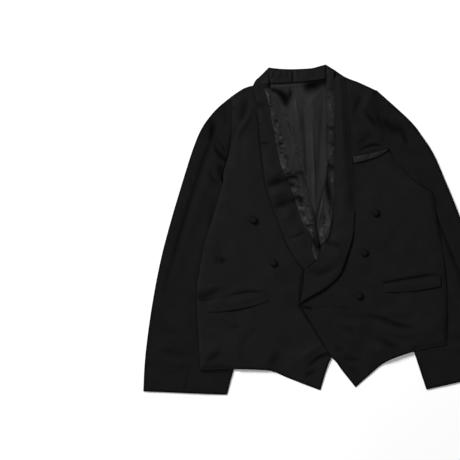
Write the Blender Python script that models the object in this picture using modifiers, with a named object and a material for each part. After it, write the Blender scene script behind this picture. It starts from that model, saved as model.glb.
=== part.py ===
"""Double-breasted evening jacket with a shawl collar, laid flat on its back.

X runs to the wearer's left, Y towards the collar and Z up from the surface that
the jacket lies on. The origin is on the centre-back line at chest level, on the
flat underside of the back. Sizes in the tables are millimetres.

Each piece of cloth is an outline made of named edges, filled with an even lattice
and given a wall. The pieces are laid one after another, and each comes to rest on
what lies under it, so that a panel bends over the sleeve or lapel below it. Where
cloth turns over at a fold, the upper piece reaches down round the edge of the lower.
"""

import math
from collections import namedtuple

import bmesh
import bpy
import numpy as np
from mathutils import Vector
from mathutils.geometry import delaunay_2d_cdt

MM = 0.001
COLLECTION = "double_breasted_jacket"

# Cloth thickness
FRONT_WALL = 2.4
BACK_WALL = 2.0
SLEEVE_WALL = 1.8
SHAWL_WALL = 2.2
STAND_WALL = 2.0
LINING_WALL = 1.0
WELT_WALL = 1.6

# Spaces between pieces, and how far the cloth reaches round a fold
SEAM_GAP = 0.3
LAYER_GAP = 0.5
RIM_WIDTH = 3.0
UNDER_INSET = RIM_WIDTH + 0.5
HIDDEN_HEM_INSET = 7.0

# Spacing of the points that a piece is made of
EDGE_STEP = 18.0
CURVE_SAMPLES = 24
CLEAR_OF_EDGE = 0.55
REACH_IN_STEPS = 1.45
RIM_REACH = 2.8
LEAST_CORNER_TURN = math.sin(math.radians(30))
WIDEST_ANGLE = math.radians(38)

# Grid that holds the height of what has been laid so far
PILE_CELL = 2.0
PILE_LOW = (-370.0, -505.0)
PILE_HIGH = (500.0, 285.0)
MASK_INSET = 0.6

# Covered button: a domed disc on a short thread shank
BUTTON_RADIUS = 8.85
BUTTON_SEGMENTS = 16
BUTTON_SHANK_RADIUS = 3.0
BUTTON_SHANK_HEIGHT = 1.4
BUTTON_DOME = [
    # radius, height above the shank
    (0.0, 4.0),
    (3.4, 3.8),
    (6.4, 3.2),
    (8.3, 2.1),
    (BUTTON_RADIUS, 1.1),
    (8.2, 0.2),
    (BUTTON_SHANK_RADIUS, 0.0),
]
BUTTONS = [
    # name, x, y
    ("button_1", -101, -88),
    ("button_2", -55, -187),
    ("button_3", 180, -71),
    ("button_4", 154, -163),
    ("button_5", 142, -262),
]

# Edges of the cut pieces as they lie, each a smooth curve through a few points (x, y)
EDGES = {
    "shoulder_right": [(-105, 222), (-123, 216), (-141, 205), (-152, 197)],
    "armhole_right": [(-152, 197), (-152, 143), (-153, 108), (-162, 51), (-170, 25), (-171, 0)],
    "sleeve_outer_right": [
        (-152, 197), (-178, 176), (-200, 153), (-222, 121), (-241, 75), (-263, 6),
        (-291, -88), (-315, -180), (-333, -273), (-345, -354), (-352, -420), (-355, -482),
    ],
    "cuff_right": [(-355, -482), (-260, -486), (-162, -490)],
    "sleeve_inner_right": [
        (-162, -490), (-149, -440), (-119, -340), (-102, -248),
        (-94, -156), (-105, -76), (-130, -28), (-171, 0),
    ],
    "side_right": [
        (-171, 0), (-199, -97), (-213, -140), (-227, -214), (-232, -264), (-227, -366), (-224, -432),
    ],
    "hem_right": [
        (-224, -432), (-148, -431), (-82, -433), (-54, -437), (-25, -450), (6, -462), (53, -480),
    ],
    "front_edge_right": [(53, -480), (59, -459), (67, -433), (77, -408), (114, -340), (141, -281)],
    "roll_right_lower": [(141, -281), (130, -246), (105, -214), (56, -161)],
    "roll_right_upper": [(56, -161), (47, -133), (42, -92), (14, 19), (-17, 120), (-64, 216)],
    "neck_right": [(-64, 216), (-84, 220), (-105, 222)],
    "satin_seam_right": [
        (-79, 215), (-70, 191), (-50, 90), (-37, 29), (-20, -1),
        (-3, -53), (13, -99), (31, -124), (34, -156), (43, -184),
    ],
    "satin_top_right": [(-64, 216), (-79, 215)],
    "satin_end_right": [(43, -184), (56, -161)],
    "shawl_outer_right": [
        (-103, 221), (-93, 161), (-85, 80), (-75, -1), (-65, -37), (-45, -92),
        (-20, -153), (16, -204), (52, -239), (98, -264), (141, -281),
    ],
    "collar_side_right": [(-66, 264), (-86, 244), (-99, 231), (-103, 221)],
    "stand_foot_right": [(-64, 216), (-64, 225)],
    "stand_end_right": [(-64, 225), (-66, 264)],
    "stand_end_left": [(66, 237), (65, 271)],
    "centre_seam": [(-11, 228), (-11, 260)],
    "collar_fold_right": [(-11, 260), (-40, 261), (-66, 264)],
    "collar_fold_left": [(65, 271), (47, 266), (29, 262), (-11, 260)],
    "neck_seam_right": [(-64, 225), (-11, 228)],
    "neck_seam_left": [(-11, 228), (15, 230), (66, 237)],
    "fall_lower": [(-99, 212), (-68, 202), (-1, 202), (68, 212), (106, 225)],
    "shoulder_left": [(106, 244), (119, 238), (138, 231), (158, 222), (184, 210)],
    "armhole_left": [
        (184, 210), (197, 166), (201, 120), (213, 74), (227, 48), (256, 14), (284, -9), (312, -25),
    ],
    "sleeve_outer_left": [
        (184, 210), (208, 189), (260, 141), (286, 108), (314, 64), (342, 0),
        (376, -85), (408, -179), (438, -274), (463, -366), (480, -437),
    ],
    "cuff_left": [(480, -437), (297, -478)],
    "sleeve_inner_left": [
        (297, -478), (279, -423), (256, -352), (231, -271), (213, -191),
        (208, -122), (224, -69), (263, -39), (312, -25),
    ],
    "side_left": [(312, -25), (323, -99), (334, -168), (342, -237), (344, -306), (342, -375)],
    "hem_left": [
        (342, -375), (305, -381), (264, -392), (223, -406), (195, -420), (164, -446), (134, -473),
    ],
    "front_edge_left": [(134, -473), (102, -433), (88, -413), (77, -401), (5, -282)],
    "roll_left_lower": [(5, -282), (13, -234), (16, -204), (36, -189), (49, -170), (53, -150)],
    "roll_left_upper": [
        (53, -150), (46, -115), (44, -87), (56, -30), (67, 16), (68, 120), (66, 237),
    ],
    "neck_left": [(106, 244), (86, 240), (66, 237)],
    "satin_seam_left": [
        (86, 258), (86, -14), (82, -76), (78, -106), (71, -129), (53, -150),
    ],
    "satin_top_left": [(86, 258), (65, 271)],
    "shawl_outer_left": [
        (106, 244), (114, 189), (123, 74), (130, 9), (132, -37), (131, -92),
        (125, -138), (112, -178), (97, -214), (66, -244), (31, -264), (5, -282),
    ],
    "collar_side_left": [(106, 244), (86, 258)],
    "back_hem": [
        (-224, -432), (-82, -431), (-17, -421), (77, -403), (190, -394), (266, -386), (342, -375),
    ],
    "lining_side_right": [(-64, 225), (-40, 120), (-8, 19), (20, -92), (20, -150)],
    "lining_side_left": [(68, -140), (84, -30), (86, 120), (66, 237)],
    "breast_welt_lower": [(129, 42), (171, 53), (213, 65)],
    "breast_welt_upper": [(212, 79), (167, 67), (127, 60)],
    "hip_welt_right_lower": [(-206, -301), (-174, -299), (-135, -293), (-98, -285), (-65, -274)],
    "hip_welt_right_upper": [(-71, -250), (-132, -257), (-174, -264), (-208, -273)],
    "hip_welt_left_lower": [(198, -255), (254, -253), (293, -248), (331, -240)],
    "hip_welt_left_upper": [(330, -213), (293, -218), (247, -225), (199, -234)],
}

# Largest folds, each a soft ridge through three points
FOLDS = [
    # piece, start, middle, end, half width, height
    ("front_right", (-109, 166), (-137, 120), (-160, 53), 15, 4.0),
    ("front_right", (-128, 200), (-112, 150), (-108, 90), 30, 2.0),
    ("front_right", (-213, -388), (-192, -402), (-174, -421), 14, 2.0),
    ("front_right", (-150, -380), (-128, -400), (-108, -425), 14, 2.0),
    ("front_right", (-20, -400), (2, -420), (20, -450), 14, 2.5),
    ("front_left", (167, 193), (158, 147), (171, 101), 18, 4.0),
    ("front_left", (128, 214), (118, 130), (128, 60), 20, 2.5),
    ("front_left", (200, 150), (205, 110), (226, 70), 15, 2.5),
    ("front_left", (150, -318), (224, -347), (310, -335), 17, 3.5),
    ("front_left", (121, -363), (178, -386), (240, -378), 14, 2.5),
    ("sleeve_right_top", (-217, 97), (-270, -64), (-332, -294), 14, 2.5),
    ("sleeve_right_top", (-174, 97), (-205, -64), (-262, -330), 24, 3.2),
    ("sleeve_right_top", (-330, -400), (-290, -380), (-235, -385), 14, 2.2),
    ("sleeve_left_top", (285, 90), (362, -85), (440, -330), 14, 2.5),
    ("sleeve_left_top", (236, 110), (322, -80), (392, -320), 24, 3.2),
    ("sleeve_left_top", (345, -395), (385, -372), (440, -360), 14, 2.2),
    ("lining_back", (1, 189), (3, 74), (20, -41), 9, 2.0),
    ("lining_back", (36, 189), (36, 74), (37, -60), 9, 2.4),
    ("stand_right", (-58, 250), (-40, 247), (-11, 246), 9, 2.5),
    ("stand_left", (-11, 246), (20, 249), (58, 258), 9, 2.5),
    ("shawl_right", (-82, 150), (-66, 40), (-46, -40), 10, 1.8),
    ("shawl_right", (-30, -60), (-8, -110), (20, -160), 12, 2.0),
    ("shawl_left", (98, 180), (108, 40), (106, -80), 12, 2.0),
    ("shawl_left", (102, -120), (84, -175), (45, -215), 12, 2.0),
    ("lining_right", (-55, 150), (-24, 60), (6, -40), 9, 1.6),
    ("lining_left", (62, -60), (70, -90), (62, -122), 7, 2.2),
]

# Each material: base colour, roughness
MATERIALS = {
    "black_wool": ((0.0112, 0.0110, 0.0118), 0.78),
    "black_facing": ((0.0105, 0.0103, 0.0108), 0.66),
    "black_satin": ((0.0210, 0.0218, 0.0214), 0.34),
    "covered_button": ((0.0085, 0.0083, 0.0088), 0.55),
}

Piece = namedtuple("Piece", "name wall step material wraps edges")

# Pieces in the order they are laid. Each edge is followed by how it is finished:
# edge is cut and hemmed, seam meets another piece, fold turns over the wrapped
# piece, under is turned over by another piece, hidden stops short of the hem above.
PIECES = [
    Piece("sleeve_right_under", SLEEVE_WALL, 40, "black_wool", (), """
        armhole_right seam, sleeve_inner_right under, cuff_right edge, sleeve_outer_right under"""),
    Piece("sleeve_left_under", SLEEVE_WALL, 40, "black_wool", (), """
        armhole_left seam, sleeve_outer_left under, cuff_left edge, sleeve_inner_left under"""),
    Piece("collar_fall", STAND_WALL, 24, "black_wool", (), """
        fall_lower edge, collar_side_left under, satin_top_left under, collar_fold_left under,
        collar_fold_right under, collar_side_right under"""),
    Piece("sleeve_right_top", SLEEVE_WALL, 23, "black_wool", ("sleeve_right_under",), """
        armhole_right seam, sleeve_inner_right fold, cuff_right edge, sleeve_outer_right fold"""),
    Piece("sleeve_left_top", SLEEVE_WALL, 23, "black_wool", ("sleeve_left_under",), """
        armhole_left seam, sleeve_outer_left fold, cuff_left edge, sleeve_inner_left fold"""),
    Piece("back", BACK_WALL, 36, "black_wool", (), """
        shoulder_right under, armhole_right seam, side_right under, back_hem hidden,
        side_left under, armhole_left seam, shoulder_left under, neck_left seam,
        neck_seam_left seam, neck_seam_right seam, stand_foot_right seam, neck_right seam"""),
    Piece("lining_back", LINING_WALL, 16, "black_satin", (), """
        lining_side_right edge, lining_side_left edge, neck_seam_left seam, neck_seam_right seam"""),
    Piece("front_right", FRONT_WALL, 21, "black_wool", ("back",), """
        shoulder_right fold, armhole_right seam, side_right fold, hem_right edge,
        front_edge_right edge, roll_right_lower under, roll_right_upper under, neck_right seam"""),
    Piece("lining_right", LINING_WALL, 12, "black_satin", ("front_right",), """
        satin_top_right seam, satin_seam_right seam, satin_end_right seam, roll_right_upper fold"""),
    Piece("shawl_right", SHAWL_WALL, 13, "black_facing", ("front_right", "collar_fall"), """
        collar_side_right fold, shawl_outer_right edge, roll_right_lower fold, satin_end_right seam,
        satin_seam_right seam, satin_top_right seam, stand_foot_right seam, stand_end_right seam"""),
    Piece("stand_right", STAND_WALL, 13, "black_facing", ("collar_fall",), """
        neck_seam_right seam, centre_seam seam, collar_fold_right fold, stand_end_right seam"""),
    Piece("stand_left", STAND_WALL, 13, "black_facing", ("collar_fall",), """
        neck_seam_left seam, stand_end_left seam, collar_fold_left fold, centre_seam seam"""),
    Piece("front_left", FRONT_WALL, 21, "black_wool", ("back",), """
        shoulder_left fold, armhole_left seam, side_left fold, hem_left edge,
        front_edge_left edge, roll_left_lower under, roll_left_upper under, neck_left seam"""),
    Piece("lining_left", LINING_WALL, 12, "black_satin", ("front_left", "collar_fall"), """
        satin_top_left fold, stand_end_left seam, roll_left_upper fold, satin_seam_left seam"""),
    Piece("shawl_left", SHAWL_WALL, 13, "black_facing", ("front_left", "collar_fall"), """
        collar_side_left fold, satin_seam_left seam, roll_left_lower fold, shawl_outer_left edge"""),
    Piece("breast_welt", WELT_WALL, 12, "black_satin", (), """
        breast_welt_lower edge, breast_welt_upper edge"""),
    Piece("hip_welt_right", WELT_WALL, 14, "black_wool", (), """
        hip_welt_right_lower edge, hip_welt_right_upper edge"""),
    Piece("hip_welt_left", WELT_WALL, 14, "black_wool", (), """
        hip_welt_left_lower edge, hip_welt_left_upper edge"""),
]

INSETS = {
    "edge": 0.0,
    "fold": 0.0,
    "seam": SEAM_GAP / 2,
    "under": UNDER_INSET,
    "hidden": HIDDEN_HEM_INSET,
}


def smooth_curve(points):
    """Returns even points along a Catmull-Rom curve through the given points."""
    given = np.array(points, dtype=float)
    if len(given) == 2:
        dense = np.linspace(given[0], given[1], CURVE_SAMPLES)
    else:
        ends = np.vstack([2 * given[0] - given[1], given, 2 * given[-1] - given[-2]])
        dense = [given[0]]
        for before, start, end, after in zip(ends, ends[1:], ends[2:], ends[3:]):
            for t in np.linspace(0, 1, CURVE_SAMPLES)[1:]:
                bend = 2 * before - 5 * start + 4 * end - after
                twist = -before + 3 * start - 3 * end + after
                dense.append(0.5 * (2 * start + (end - before) * t + bend * t**2 + twist * t**3))
        dense = np.array(dense)
    run = np.concatenate([[0], np.cumsum(np.linalg.norm(np.diff(dense, axis=0), axis=1))])
    count = max(math.ceil(run[-1] / EDGE_STEP), len(given) - 1)
    places = np.linspace(0, run[-1], count + 1)
    return np.column_stack([np.interp(places, run, dense[:, i]) for i in range(2)])


def edge_loop(piece):
    """Returns the outline's points, anticlockwise, and how the side after each point is finished."""
    sides = [text.split() for text in piece.edges.split(",")]
    curves = [smooth_curve(EDGES[name]) for name, _ in sides]
    first_end = min(
        np.linalg.norm(curves[0][-1] - curves[1][0]),
        np.linalg.norm(curves[0][-1] - curves[1][-1]),
    )
    first_start = min(
        np.linalg.norm(curves[0][0] - curves[1][0]),
        np.linalg.norm(curves[0][0] - curves[1][-1]),
    )
    if first_start < first_end:
        curves[0] = curves[0][::-1]
    points = []
    finishes = []
    for curve, (_, finish) in zip(curves, sides):
        if points and np.linalg.norm(curve[0] - points[-1]) > np.linalg.norm(curve[-1] - points[-1]):
            curve = curve[::-1]
        if points and np.linalg.norm(curve[0] - points[-1]) < SEAM_GAP:
            points.pop()
        elif points:
            finishes.append("edge")
        points.extend(curve)
        finishes.extend([finish] * (len(curve) - 1))
    if np.linalg.norm(points[0] - points[-1]) < SEAM_GAP:
        points.pop()
    else:
        finishes.append("edge")
    points = np.array(points)
    if signed_area(points) < 0:
        points = points[::-1]
        finishes = finishes[-2::-1] + finishes[-1:]
    return points, finishes


def signed_area(points):
    x, y = points.T
    return 0.5 * float(np.sum(x * np.roll(y, -1) - np.roll(x, -1) * y))


def inset_loop(points, insets):
    """Moves each side of an anticlockwise outline inwards by its own distance."""
    along = np.roll(points, -1, axis=0) - points
    along /= np.linalg.norm(along, axis=1)[:, None]
    inward = np.column_stack([-along[:, 1], along[:, 0]])
    moved = points.copy()
    for i, point in enumerate(points):
        before, after = inward[i - 1], inward[i]
        if before @ after > 0.995:
            moved[i] = point + (before * insets[i - 1] + after * insets[i]) / 2
        else:
            moved[i] = point + np.linalg.solve([before, after], [insets[i - 1], insets[i]])
    return moved


def inside(places, outline):
    """Tells which places lie inside an outline."""
    found = np.zeros(len(places), dtype=bool)
    for start, end in zip(outline, np.roll(outline, -1, axis=0)):
        if start[1] == end[1]:
            continue
        spans = (start[1] > places[:, 1]) != (end[1] > places[:, 1])
        crossing = start[0] + (places[:, 1] - start[1]) * (end[0] - start[0]) / (end[1] - start[1])
        found ^= spans & (places[:, 0] < crossing)
    return found


def distance_to(places, starts, ends):
    """Returns each place's distance to the nearest of some straight sides."""
    nearest = np.full(len(places), np.inf)
    for start, end in zip(starts, ends):
        side = end - start
        share = np.clip((places - start) @ side / (side @ side), 0, 1)
        nearest = np.minimum(nearest, np.linalg.norm(places - start - share[:, None] * side, axis=1))
    return nearest


def fold_curve(start, middle, end, count):
    """Returns points on the parabola that passes through a fold's three points."""
    start, middle, end = (np.array(p, dtype=float) for p in (start, middle, end))
    control = 2 * middle - (start + end) / 2
    t = np.linspace(0, 1, count)[:, None]
    return (1 - t) ** 2 * start + 2 * t * (1 - t) * control + t**2 * end


def fold_lift(name, places):
    """Returns how far the folds of a piece raise it at each place."""
    lift = np.zeros(len(places))
    for piece, start, middle, end, half_width, height in FOLDS:
        if piece != name:
            continue
        crest = fold_curve(start, middle, end, CURVE_SAMPLES)
        away = distance_to(places, crest[:-1], crest[1:])
        lift = np.maximum(lift, height * np.exp(-((away / half_width) ** 2)))
    return lift


def lattice(outline, step, name):
    """Returns points inside an outline: fold crests first, then an even triangular lattice."""
    crests = [
        fold_curve(start, middle, end, max(3, round(math.dist(start, end) / step) + 1))
        for piece, start, middle, end, _, _ in FOLDS
        if piece == name
    ]
    low, high = outline.min(0), outline.max(0)
    rows = []
    for i, y in enumerate(np.arange(low[1], high[1], step * math.sqrt(0.75))):
        x = np.arange(low[0] + step / 2 * (i % 2), high[0], step)
        rows.append(np.column_stack([x, np.full(len(x), y)]))
    even = np.vstack(rows)
    for crest in crests:
        even = even[distance_to(even, crest[:-1], crest[1:]) > CLEAR_OF_EDGE * step]
    places = np.vstack(crests + [even])
    places = places[inside(places, outline)]
    ends = np.roll(outline, -1, axis=0)
    return places[distance_to(places, outline, ends) > CLEAR_OF_EDGE * step]


def fill(piece, outline, folded):
    """Returns the points and triangles of a flat piece, with a second line inside each folded side."""
    ring = inset_loop(outline, [RIM_WIDTH if fold else 0.0 for fold in folded])
    boundary = []
    rim_inner = {}
    for i, (corner, inner) in enumerate(zip(outline, ring)):
        before = corner - outline[i - 1]
        after = outline[(i + 1) % len(outline)] - corner
        turn = (before[0] * after[1] - before[1] * after[0]) / math.hypot(*before) / math.hypot(*after)
        if folded[i - 1] == folded[i] or turn < LEAST_CORNER_TURN:
            boundary.append(corner)
        elif folded[i]:
            rim_inner[i] = len(boundary)
            boundary.extend([inner, corner])
        else:
            rim_inner[i] = len(boundary) + 1
            boundary.extend([corner, inner])
    places = list(boundary)
    count = len(boundary)
    sides = [(i, (i + 1) % count) for i in range(count)]
    for i, inner in enumerate(ring):
        if (folded[i - 1] or folded[i]) and i not in rim_inner:
            rim_inner[i] = len(places)
            places.append(inner)
    for i, fold in enumerate(folded):
        if fold:
            sides.append((rim_inner[i], rim_inner[(i + 1) % len(ring)]))
    places.extend(lattice(ring, piece.step, piece.name))
    vectors = [Vector((float(x), float(y))) for x, y in places]
    found, _, triangles, _, _, _ = delaunay_2d_cdt(vectors, sides, [], 1, 1e-4, False)
    found = np.array([tuple(place) for place in found])
    centres = np.array([found[list(corners)].mean(0) for corners in triangles])
    kept = inside(centres, np.array(boundary))
    return found, [tuple(corners) for corners, keep in zip(triangles, kept) if keep]


class Pile:
    """Height of each laid piece on a square grid, in millimetres."""

    def __init__(self):
        self.x = np.arange(PILE_LOW[0], PILE_HIGH[0], PILE_CELL)
        self.y = np.arange(PILE_LOW[1], PILE_HIGH[1], PILE_CELL)
        grid_x, grid_y = np.meshgrid(self.x, self.y, indexing="ij")
        self.cells = np.column_stack([grid_x.ravel(), grid_y.ravel()])
        self.tops = {}

    def add(self, name, corners, triangles):
        """Marks the cells that a laid piece covers with the height of its upper side."""
        top = np.zeros((len(self.x), len(self.y)))
        for triangle in triangles:
            a, b, c = (corners[i] for i in triangle)
            low = np.minimum(np.minimum(a, b), c)
            high = np.maximum(np.maximum(a, b), c)
            columns = slice(*np.searchsorted(self.x, [low[0], high[0]]))
            rows = slice(*np.searchsorted(self.y, [low[1], high[1]]))
            x, y = np.meshgrid(self.x[columns], self.y[rows], indexing="ij")
            double = (b[0] - a[0]) * (c[1] - a[1]) - (c[0] - a[0]) * (b[1] - a[1])
            u = ((x - a[0]) * (c[1] - a[1]) - (c[0] - a[0]) * (y - a[1])) / double
            v = ((b[0] - a[0]) * (y - a[1]) - (x - a[0]) * (b[1] - a[1])) / double
            height = a[2] + u * (b[2] - a[2]) + v * (c[2] - a[2])
            covered = (u >= 0) & (v >= 0) & (u + v <= 1)
            top[columns, rows] = np.where(covered, np.maximum(height, top[columns, rows]), top[columns, rows])
        self.tops[name] = top

    def rest_height(self, places, reach, outline, leave_out=()):
        """Returns the lowest height at which cloth inside an outline clears what lies near each place."""
        top = np.zeros((len(self.x), len(self.y)))
        for name, height in self.tops.items():
            if name not in leave_out:
                top = np.maximum(top, height)
        top = np.where(inside(self.cells, outline).reshape(top.shape), top, 0)
        heights = np.zeros(len(places))
        for i, (x, y) in enumerate(places):
            columns = slice(*np.searchsorted(self.x, [x - reach, x + reach]))
            rows = slice(*np.searchsorted(self.y, [y - reach, y + reach]))
            near_x, near_y = np.meshgrid(self.x[columns], self.y[rows], indexing="ij")
            near = np.hypot(near_x - x, near_y - y) <= reach
            heights[i] = np.max(top[columns, rows], where=near, initial=0)
        return np.where(heights > 0, heights + LAYER_GAP, 0)


def cloth_heights(piece, pile, places, outline, folded):
    """Returns the height of the underside of a piece at each of its points."""
    mask = inset_loop(outline, [MASK_INSET] * len(outline))
    reach = piece.step * REACH_IN_STEPS
    heights = pile.rest_height(places, reach, mask) + fold_lift(piece.name, places)
    if any(folded):
        ends = np.roll(outline, -1, axis=0)
        away = distance_to(places, outline[folded], ends[folded])
        rim = np.clip(1 - away / RIM_WIDTH, 0, 1)
        rim_height = pile.rest_height(places, EDGE_STEP, mask, piece.wraps)
        touched = pile.rest_height(places, RIM_REACH, outline)
        heights = heights * (1 - rim) + np.maximum(rim_height, touched) * rim
    return heights


def add_object(name, mesh, material, collection):
    """Places a finished mesh in the collection, shaded smooth but for its sharp edges."""
    mesh.shade_smooth()
    mesh.set_sharp_from_angle(angle=WIDEST_ANGLE)
    mesh.materials.append(material)
    obj = bpy.data.objects.new(name, mesh)
    collection.objects.link(obj)
    return obj


def wall_mesh(name, places, triangles, heights, wall):
    """Returns a closed cloth wall between a piece's underside and its upper side."""
    shape = bmesh.new()
    verts = [shape.verts.new((x * MM, y * MM, z * MM)) for (x, y), z in zip(places, heights)]
    for corners in triangles:
        shape.faces.new([verts[i] for i in corners])
    for vert in [v for v in shape.verts if not v.link_faces]:
        shape.verts.remove(vert)
    raised = bmesh.ops.extrude_face_region(shape, geom=shape.faces[:])["geom"]
    raised = [item for item in raised if isinstance(item, bmesh.types.BMVert)]
    bmesh.ops.translate(shape, verts=raised, vec=(0, 0, wall * MM))
    bmesh.ops.recalc_face_normals(shape, faces=shape.faces[:])
    mesh = bpy.data.meshes.new(name)
    shape.to_mesh(mesh)
    shape.free()
    return mesh


def lay_cloth(piece, pile, materials, collection):
    """Cuts a piece to its outline, lets it rest on the pile and adds it."""
    points, finishes = edge_loop(piece)
    outline = inset_loop(points, [INSETS[finish] for finish in finishes])
    folded = np.array([finish == "fold" for finish in finishes])
    places, triangles = fill(piece, outline, folded)
    heights = cloth_heights(piece, pile, places, outline, folded)
    mesh = wall_mesh(piece.name, places, triangles, heights, piece.wall)
    add_object(piece.name, mesh, materials[piece.material], collection)
    pile.add(piece.name, np.column_stack([places, heights + piece.wall]), triangles)


def sew_button(name, x, y, pile, materials, collection):
    """Turns a covered button and stands its shank on the cloth."""
    reach = BUTTON_RADIUS + PILE_CELL
    corners = np.array([(-1, -1), (1, -1), (1, 1), (-1, 1)]) * 2 * reach + (x, y)
    height = pile.rest_height([(x, y)], reach, corners)[0]
    profile = [(r, h + BUTTON_SHANK_HEIGHT) for r, h in BUTTON_DOME]
    profile += [(BUTTON_SHANK_RADIUS, 0.0), (0.0, 0.0)]
    mesh = bpy.data.meshes.new(name)
    verts = [(r * MM, 0, h * MM) for r, h in profile]
    mesh.from_pydata(verts, [(i, i + 1) for i in range(len(verts) - 1)], [])
    obj = add_object(name, mesh, materials["covered_button"], collection)
    obj.location = (x * MM, y * MM, height * MM)
    turn = obj.modifiers.new("turn", "SCREW")
    turn.steps = BUTTON_SEGMENTS
    turn.render_steps = BUTTON_SEGMENTS
    turn.use_merge_vertices = True
    turn.merge_threshold = 0.00001
    turn.use_normal_calculate = True


def make_materials():
    """Returns one material for each kind of cloth, by name."""
    made = {}
    for name, (colour, roughness) in MATERIALS.items():
        material = bpy.data.materials.new(name)
        material.use_nodes = True
        shader = material.node_tree.nodes["Principled BSDF"]
        shader.inputs["Base Color"].default_value = (*colour, 1)
        shader.inputs["Roughness"].default_value = roughness
        shader.inputs["Metallic"].default_value = 0
        made[name] = material
    return made


def main():
    for obj in list(bpy.data.objects):
        bpy.data.objects.remove(obj)
    collection = bpy.data.collections.new(COLLECTION)
    bpy.context.scene.collection.children.link(collection)
    materials = make_materials()
    pile = Pile()
    for piece in PIECES:
        lay_cloth(piece, pile, materials, collection)
    for name, x, y in BUTTONS:
        sew_button(name, x, y, pile, materials, collection)


main()
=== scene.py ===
"""Looks of the double-breasted evening jacket that lies flat on its back.

Each piece of cloth is a thin shell on its solid's form. The solid's upper side is
read from the frame and smoothed, gets its creases from the tables below, and is
settled on what lies under it. Lengths in the tables are millimetres along the
frame's own axes: x to the wearer's left, y towards the collar, z up.
"""

import math
import random
from collections import defaultdict, namedtuple

import bpy
import numpy as np
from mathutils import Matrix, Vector
from mathutils.geometry import delaunay_2d_cdt


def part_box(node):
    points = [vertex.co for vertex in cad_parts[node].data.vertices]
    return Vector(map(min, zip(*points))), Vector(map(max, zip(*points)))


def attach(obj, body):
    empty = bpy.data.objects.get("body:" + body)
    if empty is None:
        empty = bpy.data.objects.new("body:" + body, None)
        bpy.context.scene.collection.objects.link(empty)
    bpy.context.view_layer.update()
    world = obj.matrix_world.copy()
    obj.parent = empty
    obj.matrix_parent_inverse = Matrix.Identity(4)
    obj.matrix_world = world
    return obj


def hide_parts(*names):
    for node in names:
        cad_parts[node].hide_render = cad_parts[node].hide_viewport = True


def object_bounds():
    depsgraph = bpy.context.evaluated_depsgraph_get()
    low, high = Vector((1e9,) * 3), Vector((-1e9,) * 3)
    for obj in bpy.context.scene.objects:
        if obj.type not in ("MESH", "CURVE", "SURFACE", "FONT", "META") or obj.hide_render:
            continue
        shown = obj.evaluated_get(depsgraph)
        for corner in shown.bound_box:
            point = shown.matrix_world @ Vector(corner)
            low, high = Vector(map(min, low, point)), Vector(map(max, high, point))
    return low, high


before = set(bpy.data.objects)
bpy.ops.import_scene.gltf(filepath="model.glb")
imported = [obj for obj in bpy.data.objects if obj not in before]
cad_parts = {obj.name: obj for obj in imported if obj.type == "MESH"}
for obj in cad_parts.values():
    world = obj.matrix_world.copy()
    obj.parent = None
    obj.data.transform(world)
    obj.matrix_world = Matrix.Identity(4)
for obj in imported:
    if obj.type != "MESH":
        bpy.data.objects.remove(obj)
cad_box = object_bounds()

MM = 0.001
TINY = 1e-9

# The photograph: its side in pixels, the real size of a pixel, and the frame's origin in it
PHOTO_SIDE = 460
PIXEL_SIZE = 2.3
ORIGIN_PIXEL = (297.5, 182.0)

# Grid that holds the height of what has been laid so far, and how many radii a blur on
# it takes in
CELL = 2.0
GRID_MARGIN = 16.0
BLUR_REACH = 2.2

# Reading a solid: decimals to which its corners are welded, how far up a face of its
# upper side points, and the weight of heights from further off, where none is near
WELD_DECIMALS = 3
UPWARD = 0.02
FAR_RADIUS = 30
FAR_WEIGHT = 1e-6
LEAST_WEIGHT = 1e-12

# Points along an outline, and rows of points just inside it that round the edge
EDGE_SPACING = 3.0
LONGEST_SIDE = 24.0
CORNER_TURN = math.radians(32)
EDGE_ROWS = (0.6, 1.7, 3.4)
ROLL_RADIUS = 3.4
EDGE_REACH = 22.0
SAMPLES = 16

# Share of its depth that a row keeps from the outline, share of its step that the inner
# lattice keeps from the last row, and what the triangulation is asked for
ROW_CLEARANCE = 0.93
LATTICE_CLEARANCE = 0.45
INSIDE_ONLY = 1
JOIN_DISTANCE = 1e-5

# How pieces lie on each other, and meet where they are sewn together
LAYER_GAP = 0.2
SETTLE_SOFTNESS = (3.0, 1.0)
REST_SHARE = 0.03
SEAM_REACH = 1.5
SEAM_LOOK = 4.0
SEAM_EASE = 11.0
NARROW_EASE = 0.35
SATIN_SEAM_STEP = 0.35
HALF_SEAM = 0.4
SEAM_DIP = 0.2
LEAST_HEIGHT = 0.1
LIFT_SHARE = 0.25

# A pressed edge thins out to this wall over this distance
PRESSED_WALL = 0.15
PRESSED_EASE = 7.0

# Painted shade: the colour darkened in hollows and along turned edges, most at the outer rim
HOLLOW_RADIUS = 5.0
HOLLOW_START = 0.35
HOLLOW_DEPTH = 1.7
PAINTED_HOLLOW_SHADE = 0.6
PAINTED_EDGE_SHADE = 0.5
PAINTED_EDGE_SHADE_WIDTH = 1.8
PAINTED_RIM_SHADE = 0.78
PAINTED_RIM_SHADE_WIDTH = 4.0

# Slow unevenness of cloth that lies loose
WAVE_COUNT = 14
WAVE_LENGTHS = (38.0, 120.0)
WAVE_HEIGHT = 0.3

Cloth = namedtuple("Cloth", "node step wall smooth material joins flat area")

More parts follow.
